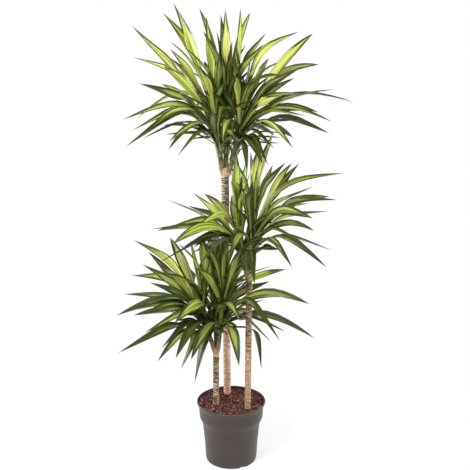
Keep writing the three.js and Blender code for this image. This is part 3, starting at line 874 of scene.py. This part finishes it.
leaf_top = make_leaf(
    "waxy leaf, upper face", "#dfdd78", "#abc142", "#5e6f23", "#303a14", "#949c55", 0.88, 0.35
)
# The underside's colours are partly its own paler band and partly painted light, raised to make up for
# the shade that the undersides lie in.
leaf_under = make_leaf(
    "waxy leaf, underside", "#c3c65e", "#8ba035", "#505f23", "#313b17", "#8f975a", 0.80, 0.44
)
print("made", leaf_top.name, "and", leaf_under.name)

# %% [markdown]
# ## One leaf
#
# A leaf is a long blade that is narrow at its root and widest past its middle, runs out into a
# thin tip, and is folded into a shallow channel. It starts as a flat grid. A helper selects the
# corners or edges that pass a test: columns are lifted into the channel, each row is moved to its
# place and scaled to the width of the blade there, and a copy of the grid closes it underneath.
# The blade is about 1 mm thick at the midrib and sharp at its margins. Its few faces are enough,
# because they are spread along its length, where it bends.

# %% Leaf blade
BLADE_LENGTH = 0.34
BLADE_WIDTH = 0.034
BLADE_COLUMNS = 4
BLADE_THICK = 0.0011
CHANNEL = 0.17  # its depth, as a share of the width
INNER_COLUMNS_UP = 0.32  # as a share of the channel's depth
TOUCH = 1e-6  # metres within which two corners are one
# Place of each row along the blade, and its width, as shares of the length and the widest.
BLADE_ROWS = [
    (0, 0.58), (0.07, 0.50), (0.15, 0.44), (0.24, 0.47), (0.33, 0.59), (0.42, 0.74), (0.52, 0.90),
    (0.62, 1.0), (0.72, 0.99), (0.81, 0.87), (0.89, 0.64), (0.95, 0.37), (1, 0),
]


def pick(piece, kind, test):
    """Selects the VERT or EDGE elements of a piece that pass a test, and opens it to edit."""
    only(piece)
    bpy.ops.object.mode_set(mode="EDIT")
    bpy.ops.mesh.select_mode(type=kind)
    bpy.ops.mesh.select_all(action="DESELECT")
    bpy.ops.object.mode_set(mode="OBJECT")
    for element in piece.data.vertices if kind == "VERT" else piece.data.edges:
        element.select = bool(test(element))
    bpy.ops.object.mode_set(mode="EDIT")


def make_blade():
    """The leaf that all others are copied from: root at the origin, along +Y, upper face up."""
    steps, wide = len(BLADE_ROWS) - 1, BLADE_COLUMNS + 1
    bpy.ops.mesh.primitive_grid_add(
        x_subdivisions=BLADE_COLUMNS, y_subdivisions=steps, size=1,
        location=(0, BLADE_LENGTH / 2, 0),
    )
    blade = bpy.context.object
    blade.scale = (BLADE_WIDTH, BLADE_LENGTH, 1)
    only(blade)
    bpy.ops.object.transform_apply()
    for column, share in ((0.5, 1.0), (0.25, INNER_COLUMNS_UP)):
        pick(blade, "VERT", lambda v: abs(abs(v.co.x) - column * BLADE_WIDTH) < 1e-5)
        bpy.ops.transform.translate(value=(0, 0, CHANNEL * BLADE_WIDTH * share))
    for row, (place, share) in enumerate(BLADE_ROWS):
        pick(blade, "VERT", lambda v: v.index // wide == row)
        bpy.ops.transform.translate(value=(0, (place - row / steps) * BLADE_LENGTH, 0))
        bpy.ops.transform.resize(value=(share, 1, share), center_override=(0, 0, 0))
    bpy.ops.mesh.select_all(action="SELECT")
    bpy.ops.mesh.duplicate_move()
    bpy.ops.mesh.flip_normals()
    top = steps * BLADE_COLUMNS  # faces of the upper side
    corners = wide * (steps + 1)  # corners of the upper side
    under = range(corners, 2 * corners - wide)
    pick(blade, "VERT", lambda v: v.index in under and v.index % wide in (1, 2, 3))
    bpy.ops.transform.translate(value=(0, 0, -BLADE_THICK))
    bpy.ops.object.mode_set(mode="OBJECT")
    for face in blade.data.polygons:
        face.material_index = face.index // top
    pick(blade, "VERT", lambda v: True)
    bpy.ops.mesh.remove_doubles(threshold=TOUCH)
    pick(blade, "EDGE", lambda e: all(blade.data.vertices[i].co.y < TOUCH for i in e.vertices))
    bpy.ops.mesh.edge_face_add()
    bpy.ops.object.mode_set(mode="OBJECT")
    # The rows have moved, so the map's V is put back in step with the length.
    spots = blade.data.uv_layers.active.data
    for loop in blade.data.loops:
        spots[loop.index].uv.y = blade.data.vertices[loop.vertex_index].co.y / BLADE_LENGTH
    return blade


blade = make_blade()
blade.data.materials.append(leaf_top)
blade.data.materials.append(leaf_under)
smooth(blade, 50)
print("one leaf has", len(blade.data.polygons), "faces and", len(blade.data.vertices), "corners")

# %% [markdown]
# ## Where the leaves grow
#
# The leaves of a head follow each other round the shoot by the golden angle, the youngest
# upright at the top and the oldest hanging lowest, and those that stand out in the photograph
# have a row of their own. This is the rule of the solids too. There, each leaf was bent a few
# degrees at a time until it was clear of the canes and of the other heads, and one found no
# room. The bend isn't worked out again: it is the one that puts the leaf's tip on a corner of
# the solid, and a leaf that has none is left out here as well. The blades here are wider and
# limper than the solid's, and some of them cross.

# %% Rows of leaves
# sector is the middle and the half width, in degrees, of the directions that a head fills, and
# lifts are those of its youngest and oldest leaf. leaves are those that stand out: [right, back,
# up] from the heart of the head to the tip, then bow, width and twist, in millimetres and degrees.
HEADS = {
    "tall_left": {
        "sector": [190, 115], "lifts": [75, -12], "count": 26, "seed": 11,
        "leaves": [
            [-155, 110, 430, 25, 36, -40], [-220, 90, 395, 40, 36, -40], [-305, 60, 350, 5, 34, -50],
            [-180, -60, 207, 10, 38, -60], [-360, 30, 230, 80, 26, -60], [-175, 180, 262, 20, 30, -10],
            [-190, 140, 232, 15, 28, -20], [-285, -60, 10, 140, 22, -30], [-330, -60, 15, 95, 32, -40],
            [-240, -110, 22, 70, 30, -20], [-205, 120, 135, 20, 28, -30], [-310, -170, -60, 105, 36, -40],
            [-300, -140, 0, 80, 30, -30], [-190, -150, -38, 65, 34, -10], [-160, -130, -85, 75, 30, -10],
            [-130, -110, -110, 75, 26, -10], [-35, 110, 383, 15, 32, 0],
        ],
    },
    "tall_back": {
        "sector": [90, 165], "lifts": [80, -5], "count": 24, "seed": 12,
        "leaves": [
            [-105, 90, 398, 15, 30, 0], [-40, 60, 316, 10, 28, 20], [-25, 50, 376, 10, 30, 0],
            [15, 80, 386, 12, 34, 0], [45, 20, 395, -15, 28, 20], [100, 70, 398, 20, 26, 10],
            [115, 60, 324, 20, 30, 20], [30, -250, -50, 35, 30, 0], [120, -260, -122, 50, 34, 0],
        ],
    },
    "tall_right": {
        "sector": [345, 115], "lifts": [75, -12], "count": 25, "seed": 13,
        "leaves": [
            [220, 110, 337, 80, 32, 40], [270, 110, 330, 30, 34, 50], [315, 60, 217, 70, 30, 50],
            [205, 120, 170, 35, 28, 40], [240, -60, 120, 70, 30, 30], [425, 60, 80, 90, 24, 30],
            [320, -130, 27, 85, 32, 20], [255, -120, 55, 60, 30, 20], [290, 60, 40, 60, 32, 40],
            [190, -100, -29, 60, 34, 10], [215, -140, -50, 85, 32, 10], [115, -110, -42, 60, 30, 0],
            [80, -150, -115, 75, 30, 0],
        ],
    },
    "middle_left": {
        "sector": [210, 105], "lifts": [35, -12], "count": 22, "seed": 14,
        "leaves": [
            [-170, 60, 157, 10, 26, -30], [-120, 80, 151, 10, 30, -30], [-285, -60, 48, 75, 28, -40],
            [-255, -90, 44, 65, 26, -30], [-280, -130, 35, 75, 36, -40], [-200, -120, 2, 55, 28, -30],
            [-150, -110, -8, 45, 28, -10], [-170, -100, 57, 85, 30, -30], [-30, 60, 252, 10, 24, 20],
            [-10, 90, 304, 10, 34, 10],
        ],
    },
    "middle_right": {
        "sector": [0, 130], "lifts": [75, -10], "count": 25, "seed": 15,
        "leaves": [
            [20, 70, 296, 0, 36, 0], [75, 60, 364, 10, 24, 20], [75, 90, 236, 10, 26, 30],
            [145, 90, 243, 20, 24, 30], [175, 110, 240, 25, 32, 40], [335, 60, 215, 85, 24, 40],
            [285, 70, 125, 55, 34, 40], [305, 0, 125, 70, 28, 30], [265, -60, 95, 45, 30, 20],
            [225, 40, 5, 60, 28, 40], [180, -100, -11, 65, 24, 10], [270, -170, -77, 75, 34, 10],
            [190, -160, -64, 65, 32, 0], [90, -40, -50, 10, 26, 40],
        ],
    },
    "short_left": {
        "sector": [190, 115], "lifts": [60, -20], "count": 23, "seed": 16,
        "leaves": [
            [-265, 60, 279, 50, 28, -40], [-140, 90, 276, 15, 32, -40], [-215, 110, 218, 15, 28, -30],
            [-210, 90, 195, 20, 34, -30], [-50, 60, 279, 0, 16, 0], [-335, 40, 103, 80, 32, -50],
            [-295, 0, 85, 50, 28, -40], [-310, -120, 39, 75, 30, -40], [-195, -90, 84, 50, 30, -20],
            [-215, -100, 49, 55, 28, -20], [-250, -110, 25, 65, 32, -20], [-300, -180, -79, 40, 36, -20],
            [-195, -170, -89, 45, 34, 0], [-145, -170, -60, 50, 30, 0],
        ],
    },
    "short_back": {
        "sector": [90, 150], "lifts": [80, -10], "count": 18, "seed": 17,
        "leaves": [
            [-45, 60, 262, 0, 30, -10], [25, 90, 232, 5, 34, 0], [75, 70, 243, 10, 34, 20],
            [120, 90, 188, 10, 32, 20], [-135, -200, 4, 65, 38, -20], [-180, -240, -94, 55, 36, 0],
        ],
    },
    "short_right": {
        "sector": [330, 120], "lifts": [75, -15], "count": 19, "seed": 18,
        "leaves": [
            [-130, -230, -108, 60, 30, 0], [-95, -220, -207, 85, 34, 0], [60, -180, -160, 70, 32, 0],
            [145, 60, -283, 80, 30, 0], [205, -200, -54, 120, 34, 0], [355, 80, -157, 60, 30, 40],
            [335, -80, 70, 65, 32, 30], [180, 100, 70, 25, 34, 40],
        ],
    },
}

# %% Placing the leaves
HEART = 0.84  # share of a shoot from which the rows measure the tips
ROOTS = (0.42, 0.98)  # shares where the oldest and the youngest leaves grow
LIFTS = (-30, 80)
WRAPPED = (12.0, 5.0)  # radius of the wrapped part of a shoot, at its knee and top
SINK = 3.0
CHORD = 340.0
ROW_CURL = 25  # degrees that the free part of a leaf turns over at most
# Leaves that fill a head. shortest is a share of CHORD, and bows are shares of the chord.
FILLER = {
    "shortest": 0.8, "chord_spread": 0.15, "bow": (0.05, 0.18), "bow_spread": 0.3,
    "width": (25, 34), "twist": 30, "curl": 110,
}
LEANS = [0, 6, -6, 12, -12]
SWINGS = [0, 6, -6, 12, -12, 18, -18, 24, -24, 30, -30]
ON_THE_CORNER = 0.3 * MM


def root_share(lift):
    """Where a leaf grows: older leaves hang lower, and grow lower down."""
    return float(np.interp(lift, LIFTS, ROOTS))


def wrapped_radius(share):
    """Radius of the wrapped part of a shoot, in metres."""
    return float(np.interp(share, (KNEE, 1), WRAPPED)) * MM


def leaf_of_row(line, right, back, up, bow, width, twist):
    """A leaf that stands out, from its row."""
    offset = Vector((right, back, up)) * MM
    lift = math.degrees(math.atan2(offset.z, math.hypot(offset.x, offset.y)))
    share = root_share(lift)
    reach = offset + line.at(HEART) - line.at(share)
    return {
        "share": share,
        "lift": math.degrees(math.atan2(reach.z, math.hypot(reach.x, reach.y))),
        "turn": math.degrees(math.atan2(reach.y, reach.x)),
        "chord": reach.length, "bow": bow * MM, "width": width * MM, "twist": twist,
        "curl": ROW_CURL,
    }


def either_way(draw):
    """A draw from -1 to 1."""
    return 2 * next(draw) - 1


def filling_leaf(head, number, total, draw):
    """A leaf that fills the head, by the golden angle squeezed into the head's sector."""
    age = (number + 0.5) / total
    middle, spread = head["sector"]
    lift = between(head["lifts"], age)
    size = between((FILLER["shortest"], 1), math.sin(math.pi * age))
    chord = CHORD * MM * size * (1 + FILLER["chord_spread"] * either_way(draw))
    return {
        "share": root_share(lift), "lift": lift,
        "turn": middle + spread * ((number * GOLDEN_ANGLE) % 360 / 180 - 1),
        "chord": chord,
        "bow": chord * between(FILLER["bow"], age) * (1 + FILLER["bow_spread"] * either_way(draw)),
        "width": between(FILLER["width"], next(draw)) * MM,
        "twist": FILLER["twist"] * either_way(draw), "curl": FILLER["curl"],
    }


# %% The bend of each leaf
def midrib(line, leaf):
    """Root, bend and tip of a leaf's midrib, and the level direction across it."""
    lift, turn = math.radians(leaf["lift"]), math.radians(leaf["turn"])
    out = Vector((math.cos(turn), math.sin(turn), 0))
    reach = out * math.cos(lift) + UP * math.sin(lift)
    rise = UP * math.cos(lift) - out * math.sin(lift)
    root = line.at(leaf["share"]) + out * (wrapped_radius(leaf["share"]) - SINK * MM)
    bend = root + reach * leaf["chord"] / 2 + rise * 2 * leaf["bow"]
    return root, bend, root + reach * leaf["chord"], UP.cross(out)


def seated(line, leaf, corners):
    """How far a leaf's tip misses a corner of the solid, and the leaf bent as it is there."""
    best = None
    for lean in LEANS:
        for swing in SWINGS:
            bent = {**leaf, "lift": leaf["lift"] + lean, "turn": leaf["turn"] + swing}
            miss = corners.find(midrib(line, bent)[2])[2]
            if best is None or miss < best[0]:
                best = (miss, bent)
            if miss < ON_THE_CORNER:
                return best
    return best


def corners_of(node):
    """Finds the nearest corner of a solid."""
    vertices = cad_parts[node].data.vertices
    finder = KDTree(len(vertices))
    for vertex in vertices:
        finder.insert(vertex.co, vertex.index)
    finder.balance()
    return finder


placed = {}
for name, head in HEADS.items():
    line, corners, draw = shoot_lines[name], corners_of(f"head_{name}"), random_from(head["seed"])
    missing = head["count"] - len(head["leaves"])
    wanted = [leaf_of_row(line, *row) for row in head["leaves"]]
    wanted += [filling_leaf(head, i, missing, draw) for i in range(missing)]
    found = [seated(line, leaf, corners) for leaf in wanted]
    placed[name] = [leaf for miss, leaf in found if miss < ON_THE_CORNER]
    left_out = len(found) - len(placed[name])
    print(name, "has", len(placed[name]), "leaves, and", left_out, "that the solid had no room for")

# %% [markdown]
# ## Heads
#
# Each leaf clasps the shoot with its narrow root before it leaves it, so a shoot looks like a
# bundle of straps that fan out. A copy of the blade is laid along each midrib: its foot runs up
# the shoot, and then it follows the arc of the solid's leaf. Two kinds of leaf are too small or
# too deep inside to be in the solid: short ones in the thick of the head, which close it to the
# eye, and a few young ones at its top, still upright and narrow. Both kinds are placed with no
# test, so many of them cross what is around them.

# %% Bending a blade
SHEATH = 72.0  # how far a leaf runs up the shoot before it leaves it
FULLER = {"tall": 1.04, "middle": 1.08, "short": 1.2}  # than the solid's leaves, which are flatter
LOWEST_FOOT = {"tall": 0.24, "middle": 0.15, "short": KNEE}  # share of the shoot
CLASPED = ([0.08, KNEE, 1], [11.5, 12.0, 5.0])  # shares, and radius of the bundle of straps
FOOT = 0.17  # share of a blade that runs up the shoot
JOINING = 0.06  # share of the midrib by which a leaf has left the shoot
FOOT_SPREAD = 0.2  # share of the shoot over which the lowest feet are spread
STRAP = 2.0  # most that a foot lies further out than the bundle
CURL_FROM = 0.4  # share of a blade where it starts to turn over, and that it takes to do so
SWAY = 13.0  # most that a blade swings to a side, half way along
DROOP = 14.0  # most that its tip hangs
DROOP_FROM = 0.65  # share of a blade where it starts to hang
UNBENT = 60  # lift above which it doesn't hang
SHARPEST = 3.6  # weight of the bend where a leaf has buckled. 1 is an even arc
BEND_SHIFT = ([0, 55], [-0.14, 0.10])  # lifts, and shift of the bend as a share of the chord
BEND_SPREAD = 0.07  # of that shift, either way


def arc(root, bend, tip, weight, t):
    """Points of a rational quadratic curve."""
    a, b, c = (1 - t) ** 2, 2 * weight * t * (1 - t), t**2
    return (a * np.array(root) + b * np.array(bend) + c * np.array(tip)) / (a + b + c)


def spline(start, leave, end, arrive, s):
    """Points of a curve between two points with given slopes there."""
    return (
        (2 * s**3 - 3 * s**2 + 1) * start + (s**3 - 2 * s**2 + s) * leave
        + (3 * s**2 - 2 * s**3) * end + (s**3 - s**2) * arrive
    )


def unit(vectors):
    """Vectors scaled to a length of one."""
    return vectors / np.linalg.norm(vectors, axis=-1, keepdims=True)


def way_of(line, leaf, lowest, draw):
    """A function that gives the points of a leaf's midrib at shares of its length, and the level
    direction across it."""
    root, bend, tip, side = midrib(line, leaf)
    weight = 1 + (SHARPEST - 1) * next(draw)
    middle = (root + tip) / 2
    bend = middle + (bend - middle) * (1 + weight) / (2 * weight)
    shift = float(np.interp(leaf["lift"], *BEND_SHIFT)) + BEND_SPREAD * either_way(draw)
    bend += (tip - root) * shift
    curve = (root, bend, tip, weight)

    # The foot runs up the shoot, and joins the arc.
    foot_share = max(leaf["share"] - SHEATH * MM / line.length, lowest + FOOT_SPREAD * next(draw))
    clasped = float(np.interp(foot_share, *CLASPED)) + STRAP * next(draw)
    foot = np.array(line.at(foot_share) + side.cross(UP) * clasped * MM)
    join = arc(*curve, JOINING)
    arrive = unit(arc(*curve, JOINING + 0.01) - join)
    reach = np.linalg.norm(join - foot)
    upward = np.array(line.heading(foot_share))

    def way(t):
        foot_part = spline(foot, upward * reach, join, arrive * reach, np.minimum(t / FOOT, 1))
        free = np.maximum(t - FOOT, 0) / (1 - FOOT)
        return np.where(t < FOOT, foot_part, arc(*curve, JOINING + (1 - JOINING) * free))

    return way, np.array(side)


# %% Laying a blade along a midrib
def bent_blade(line, leaf, lowest, draw):
    """A copy of the blade, laid along a leaf's midrib. lowest is where on the shoot its foot may
    reach down to."""
    piece = copy_of(blade, Matrix.Identity(4))
    flat = np.empty(len(piece.data.vertices) * 3)
    piece.data.vertices.foreach_get("co", flat)
    flat = flat.reshape(-1, 3)
    t = np.clip(flat[:, 1:2] / BLADE_LENGTH, 0, 1)
    way, side = way_of(line, leaf, lowest, draw)
    points = way(t)
    along = unit(way(t + 0.01) - way(np.maximum(t - 0.01, 0)))

    # The blade is turned about the midrib, and set off across it and square to it.
    side = unit(side - along * (along @ side)[:, None])
    curl = leaf["curl"] * either_way(draw) ** 3 * np.clip(t / CURL_FROM - 1, 0, 1)
    angle = np.radians(leaf["twist"] * np.minimum(1, 2 * t) + curl)
    across = -side * np.cos(angle) - np.cross(along, side) * np.sin(angle)
    face = np.cross(across, along)
    grow = leaf["width"] / BLADE_WIDTH
    sway = SWAY * MM * either_way(draw) * np.sin(math.pi * t)
    points = points + across * (flat[:, 0:1] * grow - sway) + face * flat[:, 2:3] * grow
    droop = DROOP * MM * next(draw) * np.clip(1 - leaf["lift"] / UNBENT, 0, 1)
    points[:, 2:3] -= droop * np.clip((t - DROOP_FROM) / (1 - DROOP_FROM), 0, 1) ** 2
    piece.data.vertices.foreach_set("co", points.ravel())
    note(piece, "age", [leaf["age"]] * len(points))
    note(piece, "draw", [next(draw)] * len(points))
    return piece


# %% Small leaves
STEM_TOP = 0.97  # share of the shoot where its wrapped stem ends
INNER = {"tall": 22, "middle": 10, "short": 16}
INNER_CHORD = {"tall": (150, 270), "middle": (90, 190), "short": (110, 210)}
# From the lowest inner leaf to the topmost, or least and most.
INNER_LEAF = {
    "share": (0.40, 0.94), "lift": (6, 74), "bow": (10, 28), "width": (20, 29),
    # Their age is drawn high whatever their height, so their bands are narrow and green: partly the
    # leaves' own colour, partly painted shade for the thick of a head.
    "twist": (-20, 20), "age": (0.45, 1.0),
}
SPEARS = 4
SPEAR = {"lift": (86, 74), "chord": (150, 270), "width": (17, 23)}  # from first to last


def inner_leaf(cane, number, draw):
    """A short leaf in the thick of a head."""
    youth = (number + 0.5) / INNER[cane]
    return {
        "share": between(INNER_LEAF["share"], youth), "lift": between(INNER_LEAF["lift"], youth),
        "turn": 25 + number * GOLDEN_ANGLE,
        "chord": between(INNER_CHORD[cane], next(draw)) * MM,
        "bow": between(INNER_LEAF["bow"], next(draw)) * MM,
        "width": between(INNER_LEAF["width"], next(draw)) * MM,
        "twist": between(INNER_LEAF["twist"], next(draw)), "curl": 60,
        "age": between(INNER_LEAF["age"], next(draw)),
    }


def spear(number, draw):
    """A young leaf at the top of a shoot, nearly upright and still narrow."""
    order = number / (SPEARS - 1)
    return {
        "share": STEM_TOP, "lift": between(SPEAR["lift"], order),
        "turn": number * GOLDEN_ANGLE + 60 * next(draw),
        "chord": between(SPEAR["chord"], order) * MM, "bow": 4 * MM,
        "width": between(SPEAR["width"], order) * MM, "twist": 20, "curl": 20, "age": 0.1,
    }


# %% Making the heads
STEM_RINGS = 6
AGELESS = {"tall": 58, "middle": 62, "short": 66}  # lift above which leaves are young
AGEING = 80  # degrees of lift from young to old
AGE_SPREAD = 0.575  # either way

for number, (name, leaves) in enumerate(placed.items()):
    cane, line, draw = SHOOTS[name][0], shoot_lines[name], random_from(100 + number)
    shares = np.linspace(KNEE + CLEAR * MM / line.length, STEM_TOP, STEM_RINGS + 1)
    centres = [line.at(share) for share in shares]
    stem = pulled("stem", centres, [0.9 * wrapped_radius(share) for share in shares], 12)
    stem.data.materials.append(shoot_bark)
    for leaf in leaves:
        leaf["width"] *= FULLER[cane]
        age = (AGELESS[cane] - leaf["lift"]) / AGEING + AGE_SPREAD * either_way(draw)
        leaf["age"] = float(np.clip(age, 0, 1))
    small = [inner_leaf(cane, i, draw) for i in range(INNER[cane])]
    small += [spear(i, draw) for i in range(SPEARS)]
    pieces = [bent_blade(line, leaf, LOWEST_FOOT[cane], draw) for leaf in leaves + small]
    finish_piece(joined(f"leaves_{name}", [stem] + pieces), "leaf", f"head_{name}")
bpy.data.objects.remove(blade)
